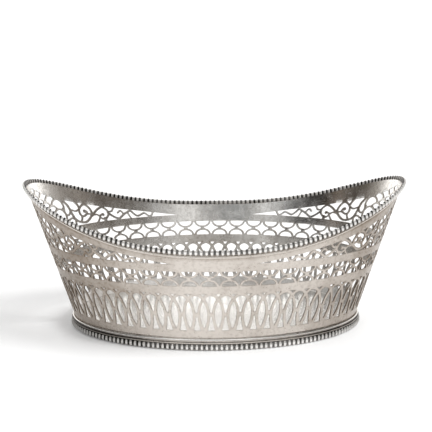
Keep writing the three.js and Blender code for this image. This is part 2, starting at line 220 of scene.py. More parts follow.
# The inner and the outer outline of a tall oval: half width in oval spacings, and its reach up and down in
# shares of the chain's own reach from its middle
INNER, OUTER = (0.745, 0.925, 1.23), (0.934, 1.063, 1.75)
OVAL_POWER = 1.85
# Half the height of the tie across the waist, and the plain sheet under the holes that two ovals share
HALF_TIE, SHARED_FOOT = 1.5, 1.2
# Least room up to the far seam, in oval spacings: from the first oval of a shared hole, and from an
# oval with holes of its own
SHARED_ROOM, OVAL_ROOM = 0.9, 0.45


def chain_metal(x, z, cut, length):
    """Tall ovals that overlap by half. The holes are what two neighbours share, what is left of an oval
    outside its neighbours' bands but for a tie across its waist, and the small corner between two crowns."""
    pitch, start = mm(cut.chain_pitch), mm(cut.chain_start)
    bottom, middle, top = mm(cut.chain_bottom), mm(cut.chain_middle), mm(cut.chain_top)
    up = z - middle

    def oval(centre, outline):
        across, above, below = outline
        reach = np.where(up > 0, (top - middle) * above, (middle - bottom) * below)
        return rounded_oval_gap(x - centre, up, pitch * across, reach, OVAL_POWER)

    left = np.floor((x - start) / pitch)
    one, two = start + left * pitch, start + (left + 1) * pitch
    shared = np.maximum.reduce([oval(one, INNER), oval(two, INNER), bottom + SHARED_FOOT - z])
    corner = np.maximum.reduce([-oval(one, OUTER), -oval(two, OUTER), z - top - EDGE])
    between = (left >= 0) & (left <= math.floor((length - start) / pitch - SHARED_ROOM))
    near = np.round((x - start) / pitch)
    centre = start + near * pitch
    bell = np.maximum.reduce([oval(centre, INNER), -oval(centre - pitch, OUTER), -oval(centre + pitch, OUTER),
                              bottom - z - EDGE, HALF_TIE - np.abs(up)])
    whole = (near >= 1) & (near <= math.floor((length - start) / pitch - OVAL_ROOM))
    metal = np.where(between, np.minimum(shared, corner), SOLID)
    return np.minimum(metal, np.where(whole, bell, SOLID))


# The hole under an arch and the arch's outer outline: half width in arch spacings, and height in shares of
# half the height between the belts
HOLE, BAND = (0.37, 0.69), (0.475, 0.925)
# Half the width of a neck, and the plain sheet between a star and the belts, and between a hole and a seam
HALF_NECK, STAR_MARGIN, SEAM_MARGIN = 1.4, 0.4, 1
# How far on the other side of the seam the first star may begin
STAR_OVERHANG = 2


def arch_metal(x, z, cut, length):
    """Arches on the lower belt and under the upper one, joined crown to crown by a neck. The holes are
    the half-round under each arch and the star between four arches and two necks."""
    pitch, start = mm(cut.arch_pitch), mm(cut.arch_start)
    bottom, top = mm(cut.arch_bottom), mm(cut.arch_top)
    reach = (top - bottom) / 2
    centre = start + np.round((x - start) / pitch) * pitch
    left = start + np.floor((x - start) / pitch) * pitch

    def arch(middle, base, outline):
        return rounded_oval_gap(x - middle, z - base, pitch * outline[0], reach * outline[1], 2.0)

    low = np.maximum(arch(centre, bottom, HOLE), bottom - z - EDGE)
    high = np.maximum(arch(centre, top, HOLE), z - top - EDGE)
    room = pitch * HOLE[0] + SEAM_MARGIN
    holes = np.where((centre > room) & (centre < length - room), np.minimum(low, high), SOLID)
    star = np.maximum.reduce([-arch(side, base, BAND) for side in (left, left + pitch)
                              for base in (bottom, top)])
    star = np.maximum.reduce([star, HALF_NECK - np.abs(x - centre),
                              bottom + STAR_MARGIN - z, z - top + STAR_MARGIN])
    return np.minimum(holes, np.where((left > -STAR_OVERHANG) & (left + pitch < length), star, SOLID))


# Lines of the scrollwork, as measured on the basket: millimetres from the narrow end, and height.
# After each line stand its widths at its two ends.
SCROLLS = [
    ([(44, 92.2), (46, 88.7), (48.5, 85.5), (49.7, 82), (50.3, 79.3), (51.2, 77), (52.3, 74.4),
      (54.3, 72.2), (57, 70.6), (60, 69.8), (64, 69.8), (68, 72), (71.2, 74.8)], 2.1, 1.8),
    ([(71.2, 74.6), (71.1, 77.2), (69.6, 80.6), (67, 83.2), (64.4, 83.9), (61, 82.3), (59.1, 79.8),
      (59.2, 77.1), (60.4, 75.2), (62.4, 74.6), (65.4, 75.6), (66.5, 77), (65.9, 78.2), (64.4, 78.4)],
     1.8, 1.5),
    ([(65.4, 75.7), (68.4, 75.7), (70.9, 74.1)], 1.4, 1.4),
    ([(60.4, 75.2), (59.9, 72.5), (58, 70.6)], 1.4, 1.4),
    ([(50.4, 81.7), (52.5, 80.9), (55.3, 79.8), (58.3, 80.4), (59.8, 81)], 1.5, 1.4),
    ([(56.2, 88.2), (57.6, 86.4), (59.2, 84), (59.8, 81.3)], 1.9, 1.6),
    ([(71.2, 73.9), (74.7, 76.7), (78.2, 78.7), (81.6, 79.6), (84.4, 78.2), (86.6, 75.7), (86.7, 72.9),
      (84.8, 70.7), (82.7, 69.6), (80.2, 70.2), (78.6, 71.8), (79.2, 73.4), (81.3, 73.6)], 1.8, 1.4),
    ([(71.8, 74.2), (75.2, 74.3), (77, 73.3), (78.2, 71.8), (76.3, 69.1), (74.2, 67.2)], 1.4, 1.3),
    ([(83, 70.2), (83.2, 67.2)], 2.4, 2.7),
    ([(86.6, 74.4), (90.1, 71.5), (93.6, 69.4), (96.4, 68.8), (100.3, 71.1), (103.8, 72.9), (107.5, 74),
      (110.4, 71.3), (113.5, 69.3), (117.2, 70.4), (120, 71.2), (122.7, 69.3), (124.8, 68.3), (126.5, 69.1),
      (128.2, 71.8)], 1.9, 1.4),
    ([(87, 75.4), (90.3, 75.3), (92.8, 78.4)], 1.4, 1.3),
    ([(95.7, 73.3), (98.1, 75), (100, 73.4), (100.8, 71.4)], 1.4, 1.3),
    ([(104.8, 72.9), (106, 70), (107.6, 67.4)], 1.3, 1.3),
    ([(42.4, 84.2), (43.2, 81.3), (44.4, 78.7), (46.4, 77.9), (48.6, 79), (50.1, 81)], 1.4, 1.4),
    ([(41, 71), (43.6, 72.6), (46.6, 74.3), (49.8, 74.9), (52.1, 73.4)], 1.4, 1.4),
    ([(52.6, 73.9), (52.4, 70.6), (52, 67.2)], 1.4, 1.4),
]
# The balls in which the two big scrolls end: place and radius
SCROLL_ENDS = [(64.5, 78.4, 1.5), (81.5, 73.5, 1.4)]
# The fish scales reach this far from the narrow end. The middles of row 0 stand this much over the belt,
# and from row to row they rise by this share of the radius.
SCALES_END, ROW_0, ROW_RISE = 43.0, 1.2, 0.5616
# Plain strip along the seam
SEAM_STRIP = 1.2
# Turns a height over the crescent's sloping upper side into about the distance from it
SLOPE_SHARE = 0.9


def crescent_metal(x, z, top, cut):
    """Openwork between the upper belt and the border, x from the near end: the scrolls, and fish scales,
    each a part of a circle that ends where it meets the two below it. The last scale of a row has no
    neighbour, so it runs on down to the scale two rows below."""
    bottom, radius, bar = mm(cut.crescent_bottom), mm(cut.scale_radius), mm(cut.bar)
    metal = np.full(x.shape, -SOLID)
    for points, first, last in SCROLLS:
        line = smooth_line(points, steps=6)
        metal = np.maximum(metal, bar_metal(x, z, line, np.linspace(first, last, len(line))))
    for ball_x, ball_z, ball_radius in SCROLL_ENDS:
        metal = np.maximum(metal, ball_radius - np.hypot(x - ball_x, z - ball_z))
    step = radius * ROW_RISE
    spring = math.acos(math.hypot(radius, step) / (2 * radius)) - math.atan2(step, radius)
    last_spring = -math.asin(step / radius)
    for row in range(-1, math.ceil(mm(cut.crescent_top) / step)):
        offset = radius * (1 - row % 2)
        last_column = math.floor((SCALES_END - offset) / (2 * radius))
        centre = offset + np.minimum(np.round((x - offset) / (2 * radius)), last_column) * 2 * radius
        dx, dz = x - centre, z - (bottom + ROW_0 + row * step)
        runs_on = (dx > 0) & (centre + radius > SCALES_END)
        end = np.where(runs_on, last_spring, spring)
        along = np.abs(np.hypot(dx, dz) - radius)
        beyond = np.hypot(np.abs(dx) - radius * np.cos(end), dz - radius * np.sin(end))
        scale = np.where(np.arctan2(dz, np.abs(dx)) > end, along, beyond)
        metal = np.maximum(metal, bar / 2 - scale)
    return np.maximum.reduce([metal, bottom - z, (z - top) * SLOPE_SHARE, SEAM_STRIP - x])


# The sheet is drawn by lengths along the oval at this height, up to this close to the seams
DRAWING_HEIGHT, SEAM = 85.0, 0.03
# Spacing of the grid's rows in the chain and in the arches, and counts of rows in the crescents and border
CHAIN_STEP, ARCH_STEP, CRESCENT_ROWS, BORDER_ROWS = 0.87, 0.76, 48, 3
# The crescents' close rows go on this far over their upper side, and are at least this high altogether
ROWS_BEYOND, LEAST_ROWS = 0.3, 2.0
# Painted shade under the plain wire: full down to this far under the bead tops, and gone this much further
# down
SHADE_DOWN, SHADE_FADE = 7.25, 1.7


def sheet_drawing(oval, wall, cut):
    """The half sheet laid flat, as a grid of x, the length along the oval, and z. Each point's metal value
    is how deep it lies in the metal. Over a crescent its upper side is bottom + rise * (s * left
    + (1 - s) * left ** 3), with left the share of its reach still to go and s its straightness."""
    turns, lengths = oval.half_round(DRAWING_HEIGHT)
    length = lengths[-1]
    x = np.linspace(SEAM, length - SEAM, int(length / mm(cut.cell)) + 1)
    from_end = np.minimum(x, length - x)
    bottom, reach = mm(cut.crescent_bottom), mm(cut.crescent_reach)
    left, straight = np.maximum(1 - from_end / reach, 0), cut.crescent_straightness
    slope = straight * left + (1 - straight) * left ** 3
    rise = np.minimum(mm(cut.crescent_rise) * slope, mm(cut.crescent_top))
    rows = np.concatenate([
        belt_rows(wall.bottom, cut.chain_bottom), open_rows(cut.chain_bottom, cut.chain_top, CHAIN_STEP),
        belt_rows(cut.chain_top, cut.arch_bottom), open_rows(cut.arch_bottom, cut.arch_top, ARCH_STEP),
        belt_rows(cut.arch_top, cut.crescent_bottom)])
    open_top = bottom + np.maximum(rise + ROWS_BEYOND, LEAST_ROWS)
    share = np.arange(CRESCENT_ROWS) / CRESCENT_ROWS
    upper = bottom + share * (open_top[:, None] - bottom)
    border_height = oval.sheet_top(np.interp(x, lengths, turns)) - open_top
    border = open_top[:, None] + np.linspace(0, 1, BORDER_ROWS + 1) * border_height[:, None]
    z = np.concatenate([np.broadcast_to(rows, (len(x), len(rows))), upper, border], axis=1)
    x = np.broadcast_to(x[:, None], z.shape)

    metal = np.full(z.shape, SOLID)
    for pattern, low, high, height in (
            (chain_metal, cut.chain_bottom, cut.chain_top, mm(cut.chain_middle)),
            (arch_metal, cut.arch_bottom, cut.arch_top, (mm(cut.arch_bottom) + mm(cut.arch_top)) / 2)):
        zone = (z >= mm(low)) & (z <= mm(high))
        true_length = oval.half_round(height)[1][-1]
        metal[zone] = pattern((x * true_length / length)[zone], z[zone], cut, true_length)
    ends = np.broadcast_to(from_end[:, None], z.shape)
    tops = np.broadcast_to((bottom + rise)[:, None], z.shape)
    crescents = (z > bottom) & (z < tops + 1) & (ends < reach)
    metal[crescents] = crescent_metal(ends[crescents], z[crescents], tops[crescents], cut)
    return metal, x, z


def pierced_sheet(oval, wall, cut):
    """The back half of the wall, from the -X end to the +X end. Cells of the drawing that lie wholly in the
    metal become faces, and cells on an outline are cut at the place where the value would be nought. The
    faces are laid on the outer and the inner side of the leaning oval, and an edge closes every outline."""
    faces, points, on_edge = cut_out(*sheet_drawing(oval, wall, cut))
    turns, lengths = oval.half_round(DRAWING_HEIGHT)
    point_turn = np.interp(points[:, 0], lengths, turns)
    soft = np.where(on_edge, mm(wall.edge_softness), 0.0)
    z = points[:, 1]
    outer, inner = (oval.around(point_turn, z, out, z) * np.array([-1.0, 1.0, 1.0])
                    for out in (-soft, soft - mm(wall.thickness)))
    count = len(points)
    edges = np.concatenate([faces[:, [i, (i + 1) % 3]] for i in range(3)])
    key, back = edges[:, 0] * count + edges[:, 1], edges[:, 1] * count + edges[:, 0]
    p, q = edges[~np.isin(key, back)].T
    rims = np.stack([q + count, p + count, p, q], axis=1)
    rims = np.concatenate([rims[:, [0, 1, 2]], rims[:, [0, 2, 3]]])
    # Painted shade on the outer face just under the plain wire
    wire_shade_end = oval.rim_top(point_turn) - SHADE_DOWN
    painted_shade = np.clip(1 - (wire_shade_end - z) / SHADE_FADE, 0, 1)
    marks = {
        "inside": np.concatenate([np.zeros(count), np.ones(count)]),
        "edge": np.concatenate([on_edge, on_edge]).astype(float),
        "shade_under_wire": np.concatenate([painted_shade, np.zeros(count)]),
    }
    return np.vstack([outer, inner]), np.vstack([faces[:, ::-1], faces + count, rims]), marks


def belt_rows(low, high):
    """Heights of the grid's rows on a belt: its lower edge, and two lines close to each edge that keep
    the shading of the rounded edges from running across the belt."""
    low, high, near, next_near = mm(low), mm(high), 0.3, 0.65
    return np.array([low, low + near, low + next_near, high - next_near, high - near])


def open_rows(low, high, step):
    """Evenly spaced heights from the edge of one belt up to the next belt."""
    return np.linspace(mm(low), mm(high), round((mm(high) - mm(low)) / step), endpoint=False)


def cut_out(metal, x, z):
    """Triangles of the part of a grid where metal is over nought. A triangle with one or two corners in
    the metal is cut at the points where the value falls to nought along its sides. The cuts keep a small
    share of the side away from its corners, so that slivers don't get too thin."""
    ids = np.arange(metal.size).reshape(metal.shape)
    a, b, c, d = ids[:-1, :-1].ravel(), ids[1:, :-1].ravel(), ids[1:, 1:].ravel(), ids[:-1, 1:].ravel()
    triangles = np.vstack([np.stack([a, b, c], 1), np.stack([a, c, d], 1)])
    value = metal.ravel()
    value = np.where(np.abs(value) < 1e-6, 1e-6, value)
    inside = value > 0
    count_in = inside[triangles].sum(1)
    odd = np.where(count_in == 1, inside[triangles].argmax(1), (~inside[triangles]).argmax(1))
    turned = np.take_along_axis(triangles, (odd[:, None] + np.arange(3)) % 3, axis=1)
    tips, stumps = turned[count_in == 1], turned[count_in == 2]
    crossed = np.vstack([tips[:, [0, 1]], tips[:, [0, 2]], stumps[:, [0, 1]], stumps[:, [0, 2]]])
    pairs, place = np.unique(np.sort(crossed, axis=1), axis=0, return_inverse=True)
    place = place.reshape(-1) + metal.size
    first, second = value[pairs[:, 0]], value[pairs[:, 1]]
    least = 0.04
    share = np.clip(first / (first - second), least, 1 - least)[:, None]
    flat = np.stack([x.ravel(), z.ravel()], 1)
    points = np.vstack([flat, flat[pairs[:, 0]] * (1 - share) + flat[pairs[:, 1]] * share])
    t1, t2, s1, s2 = np.split(place, np.cumsum([len(tips), len(tips), len(stumps)]))
    faces = np.vstack([
        triangles[count_in == 3],
        np.stack([tips[:, 0], t1, t2], 1),
        np.stack([s1, stumps[:, 1], stumps[:, 2]], 1),
        np.stack([s1, stumps[:, 2], s2], 1),
    ])
    used, faces = np.unique(faces, return_inverse=True)
    return faces.reshape(-1, 3), points[used], used >= metal.size


def closed_ring(points):
    """Faces of a grid of points that closes on itself both round the oval and round its section."""
    around, section = points.shape[:2]
    ids = np.arange(around * section).reshape(around, section)
    on, up = np.roll(ids, -1, axis=0), np.roll(ids, -1, axis=1)
    both = np.roll(on, -1, axis=1)
    return np.stack([ids, on, both, up], axis=-1).reshape(-1, 4)


def moulding(profile, oval, along_rim, around=288):
    """A closed section of (out, up) points carried round the oval. On the rim the section rides on the
    wavy bead tops and leans with the wall. On the foot it stands upright, and out is measured from the
    wall's face at its lower edge."""
    turn = np.arange(around) * (2 * math.pi / around)
    out, up = np.array(profile, float).T
    turn, out = turn[:, None], out[None, :]
    z = oval.rim_top(turn) + up if along_rim else up
    return oval.around(turn, z if along_rim else oval.bottom, out, z)


def beaded_wire(oval, count, width, height, depth, out, middle, along_rim):
    """Upright beads on a thin strip, all one surface, and where the gaps between them are. Across its
    width u a bead's half height is (height - width) / 2 + half width * e and its half depth is
    half depth * e, where e = sqrt(1 - (u / half width) ** 2). Between two beads only the strip is left,
    on the wall's side."""
    fine = np.linspace(0, 2 * math.pi, 8193)
    z = oval.rim_top(fine) + middle if along_rim else middle
    path = oval.around(fine, z if along_rim else oval.bottom, out, z)
    run = np.concatenate([[0], np.cumsum(np.linalg.norm(np.diff(path, axis=0), axis=1))])
    half = width / 2
    # Sections across one bead, in half widths. The first and the last stand in the gaps beside it.
    stations = np.array([-1.03, -0.96, -0.64, 0.0, 0.64, 0.96, 1.03])
    places = ((np.arange(count)[:, None] + 0.5) * run[-1] / count + stations * half).ravel()
    turn = np.interp(places, run, fine)
    near = 0.2
    centre, ahead, behind = (np.stack([np.interp(places + step, run, path[:, k]) for k in range(3)], axis=-1)
                             for step in (0.0, near, -near))
    way = (ahead - behind) / np.linalg.norm(ahead - behind, axis=1, keepdims=True)
    lean = (oval.lean_of_ends, oval.lean_of_sides) if along_rim else (0.0, 0.0)
    upward = np.stack([lean[0] * np.cos(turn), lean[1] * np.sin(turn), np.ones_like(turn)], axis=-1)
    outward = np.cross(way, upward)
    outward /= np.linalg.norm(outward, axis=1, keepdims=True)
    upward = np.cross(outward, way)
    gap = np.abs(stations) > 1
    swell = np.sqrt(1 - np.minimum(np.abs(stations), 1) ** 2)
    # Half the strip's thickness, half its height over a bead's, and a bead's least depth over the strip's
    strip, strip_height, least_depth = 0.3, 0.43, 1.2
    half_height = np.where(gap, height * strip_height, (height - width) / 2 + half * swell)
    half_depth = np.where(gap, strip, np.maximum(depth / 2 * swell, strip * least_depth))
    shift = np.where(gap, strip - depth / 2, 0.0)
    half_height, half_depth, shift, gap = (np.tile(each, count)[:, None] for each in
                                           (half_height, half_depth, shift, gap))
    angle = (np.arange(8) + 0.5) * (2 * math.pi / 8)
    points = (centre[:, None] + outward[:, None] * (shift + half_depth * np.cos(angle))[..., None]
              + upward[:, None] * (half_height * np.sin(angle))[..., None])
    # The gaps are handed back so that the strip in them is painted dark as shade
    return points, np.broadcast_to(gap, points.shape[:2])


def arc(centre, radius, first, last, steps):
    """Points (out, up) on a part of a circle, turns in degrees."""
    turn = np.radians(np.linspace(first, last, steps + 1))
    return [(centre[0] + radius * math.cos(t), centre[1] + radius * math.sin(t)) for t in turn]


def oval_plate(oval, low, high, reach, around=288):
    """A flat plate with a half-round edge, which stands out by reach past the wall's face at its lower
    edge. The marks paint shade into the crease where the wall stands on the plate."""
    radius = (high - low) / 2
    edge = arc((reach - radius, low + radius), radius, -90, 90, 8)
    long_axis, short_axis = oval.half_axes(oval.bottom)
    inward = np.arange(1, 14) / 14
    turn = np.arange(around) * (2 * math.pi / around)
    rows = [(share, 0.0, low) for share in inward] + [(1.0, out, up) for out, up in edge]
    seam = len(rows)
    rows += [(1.0, out, high) for out in (0.5, -0.4, -1.4)]
    rows += [(share, 0.0, high) for share in inward[::-1]]
    share, out, up = np.array(rows).T
    # Painted shade in the crease where the wall stands on the plate
    groove_shade = np.zeros(len(rows))
    groove_shade[seam - 1:seam + 2] = 0.4, 1.0, 0.7
    ring = np.stack([
        (share * long_axis + out) * np.cos(turn)[:, None],
        (share * short_axis + out) * np.sin(turn)[:, None],
        np.broadcast_to(up, (around, len(rows))),
    ], axis=-1)
    ids = np.arange(around * len(rows)).reshape(around, len(rows))
    on = np.roll(ids, -1, axis=0)
    sides = np.stack([ids[:, :-1], on[:, :-1], on[:, 1:], ids[:, 1:]], axis=-1).reshape(-1, 4)
    under, over = ids.size, ids.size + 1
    faces = np.vstack([
        sides[:, [0, 1, 2]], sides[:, [0, 2, 3]],
        np.stack([on[:, 0], ids[:, 0], np.full(around, under)], 1),
        np.stack([ids[:, -1], on[:, -1], np.full(around, over)], 1),
    ])
    points = np.vstack([ring.reshape(-1, 3), [[0, 0, low], [0, 0, high]]])
    marks = np.concatenate([np.broadcast_to(groove_shade, ids.shape).reshape(-1), [0.0, 0.0]])
    return points, faces, marks


# Meshes


def make_piece(name, points, faces, replaced, material, marks=None, crease=38.0):
    """Puts a worked-out surface into a mesh in metres, smooth but for creases, and hands it to the frame."""
    mesh = bpy.data.meshes.new(name)
    points = points.reshape(-1, 3) / 1000.0
    mesh.vertices.add(len(points))
    mesh.vertices.foreach_set("co", points.reshape(-1).astype(np.float32))
    corners = faces.shape[1]
    mesh.loops.add(faces.size)
    mesh.loops.foreach_set("vertex_index", faces.reshape(-1).astype(np.int32))
    mesh.polygons.add(len(faces))
    mesh.polygons.foreach_set("loop_start", np.arange(0, faces.size, corners, dtype=np.int32))
    mesh.polygons.foreach_set("loop_total", np.full(len(faces), corners, dtype=np.int32))
    mesh.update(calc_edges=True)
    if mesh.validate():
        raise RuntimeError(f"{name} has faces that Blender would drop")
    mesh.shade_smooth()
    mesh.set_sharp_from_angle(angle=math.radians(crease))
    for mark, values in (marks or {}).items():
        layer = mesh.attributes.new(mark, "FLOAT", "POINT")
        layer.data.foreach_set("value", np.asarray(values, np.float32).reshape(-1))
    mesh.materials.append(material)
    piece = bpy.data.objects.new(name, mesh)
    bpy.context.scene.collection.objects.link(piece)
    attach(piece, "root")
    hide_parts(*replaced)


# Materials


def node(tree, kind, **values):
    made = tree.nodes.new(kind)
    for name, value in values.items():
        setattr(made, name, value)
    return made


def fill(made, values):
    for socket, value in values.items():
        made.inputs[socket].default_value = value


def noise(tree, coordinates, scale, detail, roughness, stretch=None):
    if stretch:
        mapping = node(tree, "ShaderNodeMapping")
        fill(mapping, {"Scale": stretch})
        tree.links.new(coordinates, mapping.inputs["Vector"])
        coordinates = mapping.outputs["Vector"]
    made = node(tree, "ShaderNodeTexNoise")
    fill(made, {"Scale": scale, "Detail": detail, "Roughness": roughness})
    tree.links.new(coordinates, made.inputs["Vector"])
    return made.outputs["Fac"]


def spread(tree, value, low, high, to_low=0.0, to_high=1.0):
    made = node(tree, "ShaderNodeMapRange", clamp=True)
    made.interpolation_type = "SMOOTHSTEP"
    fill(made, {"From Min": low, "From Max": high, "To Min": to_low, "To Max": to_high})
    tree.links.new(value, made.inputs["Value"])
    return made.outputs["Result"]


def combine(tree, operation, first, second):
    made = node(tree, "ShaderNodeMath", operation=operation, use_clamp=operation == "ADD")
    for socket, value in zip(made.inputs, (first, second)):
        if isinstance(value, (int, float)):
            socket.default_value = value
        else:
            tree.links.new(value, socket)
    return made.outputs["Value"]


def blend_colours(tree, share, first, second):
    made = node(tree, "ShaderNodeMix", data_type="RGBA")
    tree.links.new(share, made.inputs[0])
    for socket, colour in ((made.inputs[6], first), (made.inputs[7], second)):
        if hasattr(colour, "is_linked"):
            tree.links.new(colour, socket)
        else:
            socket.default_value = (*colour, 1.0)
    return made.outputs[2]


# What changes on the inside of the walls with height: from and to, and the share at each. It is dimmer
# lower down, and a haze of old solder dulls it next to the bottom.
INSIDE_DIM = (0.052, 0.066, 0.23, 0.0)
INSIDE_SOLDER = (0.0145, 0.018, 0.85, 0.0)
# Tarnish and painted shade on the cut edges, and how far all the darkening dulls the metal
EDGE_TARNISH_AND_SHADE, DULLING = 0.45, 0.2
# Painted shade toward the narrow ends: where the middle of the bright part lies, and the distances from it
# between which the painted shade sets in
END_SHADE_MIDDLE, END_SHADE_REACH = 0.018, (0.035, 0.13)


def silver_material(name, base, dark, clouds, roughness, bump, mark="", mark_share=0.0, least=0.6, ends=0.0,
                    inner=None):
    """Old silver: rubbed metal with tarnished clouds and specks, and painted shade where the piece's own mark
    says so and toward the ends, with fine scratches and small dents. A sheet has a second colour for its
    inside, dimmer and with a haze of solder low down, and cut edges that are tarnished and darkened with
    painted shade."""
    material = bpy.data.materials.new(name)
    material.use_nodes = True
    tree = material.node_tree
    tree.nodes.clear()
    output = node(tree, "ShaderNodeOutputMaterial")
    shader = node(tree, "ShaderNodeBsdfPrincipled")
    fill(shader, {"Metallic": 1.0})
    tree.links.new(shader.outputs["BSDF"], output.inputs["Surface"])
    place = node(tree, "ShaderNodeTexCoord").outputs["Object"]
    cloudy = spread(tree, noise(tree, place, 16.0, 4.0, 0.6), 0.46, 0.72, 0.0, clouds)
    specks = spread(tree, noise(tree, place, 420.0, 3.0, 0.7), 0.44, 0.74, 0.0, clouds * 0.8)
    tarnish_and_shade = combine(tree, "ADD", cloudy, specks)
    # The piece's own mark is painted shade, made patchy by noise
    if mark:
        layer = node(tree, "ShaderNodeAttribute", attribute_name=mark).outputs["Fac"]
        mottled = spread(tree, noise(tree, place, 60.0, 3.0, 0.6), 0.3, 0.7, least, 1.0)
        marked = combine(tree, "MULTIPLY", layer, mark_share)
        tarnish_and_shade = combine(tree, "ADD", tarnish_and_shade, combine(tree, "MULTIPLY", marked, mottled))
    across = node(tree, "ShaderNodeSeparateXYZ")
    tree.links.new(place, across.inputs["Vector"])
    # Painted shade toward the narrow ends; on a sheet only its outside gets it
    from_middle = combine(tree, "SUBTRACT", across.outputs["X"], END_SHADE_MIDDLE)
    end_shade = spread(tree, combine(tree, "ABSOLUTE", from_middle, 0.0), *END_SHADE_REACH, 0.0, ends)
    if inner:
        inside = node(tree, "ShaderNodeAttribute", attribute_name="inside").outputs["Fac"]
        base = blend_colours(tree, inside, base, inner)
        dim = combine(tree, "MULTIPLY", spread(tree, across.outputs["Z"], *INSIDE_DIM), inside)
        tarnish_and_shade = combine(tree, "ADD", tarnish_and_shade, dim)
        end_shade = combine(tree, "MULTIPLY", end_shade, combine(tree, "SUBTRACT", 1.0, inside))
        solder = combine(tree, "MULTIPLY", spread(tree, across.outputs["Z"], *INSIDE_SOLDER), inside)
        tree.links.new(combine(tree, "SUBTRACT", 1.0, solder), shader.inputs["Metallic"])
        # Cut edges darkened with tarnish and painted shade
        cut = node(tree, "ShaderNodeAttribute", attribute_name="edge").outputs["Fac"]
        tarnish_and_shade = combine(tree, "ADD", tarnish_and_shade, combine(tree, "MULTIPLY", cut, EDGE_TARNISH_AND_SHADE))
    tarnish_and_shade = combine(tree, "ADD", tarnish_and_shade, end_shade)
    tree.links.new(blend_colours(tree, tarnish_and_shade, base, dark), shader.inputs["Base Color"])
    haze = spread(tree, noise(tree, place, 90.0, 4.0, 0.65), 0.3, 0.7, roughness, roughness + 0.12)
    dulled = combine(tree, "MULTIPLY", tarnish_and_shade, DULLING)
    tree.links.new(combine(tree, "ADD", haze, dulled), shader.inputs["Roughness"])
    scratches = combine(
        tree, "MULTIPLY", noise(tree, place, 1.0, 2.0, 0.5, stretch=(260.0, 2600.0, 900.0)), 0.25)
    dents = combine(tree, "MULTIPLY", noise(tree, place, 55.0, 2.0, 0.4), 0.7)
    relief = node(tree, "ShaderNodeBump")
    fill(relief, {"Strength": bump, "Distance": 0.0006})
    tree.links.new(combine(tree, "ADD", scratches, dents), relief.inputs["Height"])
    tree.links.new(relief.outputs["Normal"], shader.inputs["Normal"])
    return material


# Pieces and operators


def make_beads(where, finish, clouds, ends, points, groove_shade):
    """A beaded wire in rubbed silver, with painted shade between its beads."""
    silver = silver_material(
        where + "_bead_silver", finish.bright_silver, finish.grooves, clouds=clouds, roughness=0.30,
        bump=0.15, mark="groove_shade", mark_share=0.88, least=0.8, ends=ends)
    make_piece(where + "_beads", points, closed_ring(points)[:, ::-1], [where + "_bead_wire"],
               silver, {"groove_shade": groove_shade}, crease=75.0)


def basket(context):
    scene = context.scene
    return scene.basket_wires, scene.basket_finish, Oval(scene.basket_wall)


class BASKET_OT_walls(Operator):
    """Cuts the openwork out of a half sheet and bends it round the back and the front of the oval"""

    bl_idname = "basket.walls"
    bl_label = "Pierced walls"

    def execute(self, context):
        _, finish, oval = basket(context)
        # The walls take painted shade under the plain wire and toward the narrow ends
        material = silver_material(
            "rubbed_sheet_silver", finish.outer_silver, finish.tarnish_and_shade, clouds=0.34, roughness=0.14, bump=0.4,
            mark="shade_under_wire", mark_share=0.5, ends=0.6, inner=finish.inner_silver)
        points, faces, marks = pierced_sheet(oval, context.scene.basket_wall, context.scene.basket_piercing)
        make_piece("pierced_wall_back", points, faces, ["wall_back"], material, marks)
        turned = points * np.array([-1.0, -1.0, 1.0])
        make_piece("pierced_wall_front", turned, faces, ["wall_front"], material, marks)
        return {"FINISHED"}


class BASKET_OT_rim(Operator):
    """Lays the beaded wire and the plain wire under it along the wavy edge"""

    bl_idname = "basket.rim"
    bl_label = "Rim wires"

    def execute(self, context):
        wires, finish, oval = basket(context)
        height, depth, gap = mm(wires.rim_bead_height), mm(wires.rim_bead_depth), mm(wires.clearance)
        # Painted shade between the rim beads, and a little toward the narrow ends
        make_beads("rim", finish, 0.16, 0.15, *beaded_wire(
            oval, wires.rim_beads, mm(wires.bead_width), height, depth, gap + depth / 2, -height / 2, True))
        plain = silver_material(
            "plain_wire_silver", finish.outer_silver, finish.tarnish_and_shade, clouds=0.3, roughness=0.16, bump=0.2)
        tall, deep = 2.6, 1.3
        top = -height - gap
        profile = [(gap + deep * math.cos(t), top - tall / 2 + tall / 2 * math.sin(t))
                   for t in np.radians(np.linspace(-90, 90, 13))]
        ring = moulding(profile, oval, True)
        make_piece("rim_plain_wire", ring, closed_ring(ring), ["rim_fillet_wire"], plain)
        return {"FINISHED"}


class BASKET_OT_floor(Operator):
    """Makes the plain oval bottom, whose rounded edge shows as the bright collar above the foot"""

    bl_idname = "basket.floor"
    bl_label = "Bottom"

    def execute(self, context):
        _, finish, oval = basket(context)
        # The bottom takes painted shade in the crease under the wall, and a little toward the narrow ends
        material = silver_material(
            "polished_floor_silver", finish.floor_silver, finish.tarnish_and_shade, clouds=0.14, roughness=0.13,
            bump=0.25, mark="groove_shade", mark_share=0.8, ends=0.1)
        low, high, reach = 7.75, 8.75, 1.5
        points, faces, marks = oval_plate(oval, low, high, reach)
        make_piece("oval_bottom", points, faces, ["floor_plate"], material, {"groove_shade": marks})
        return {"FINISHED"}


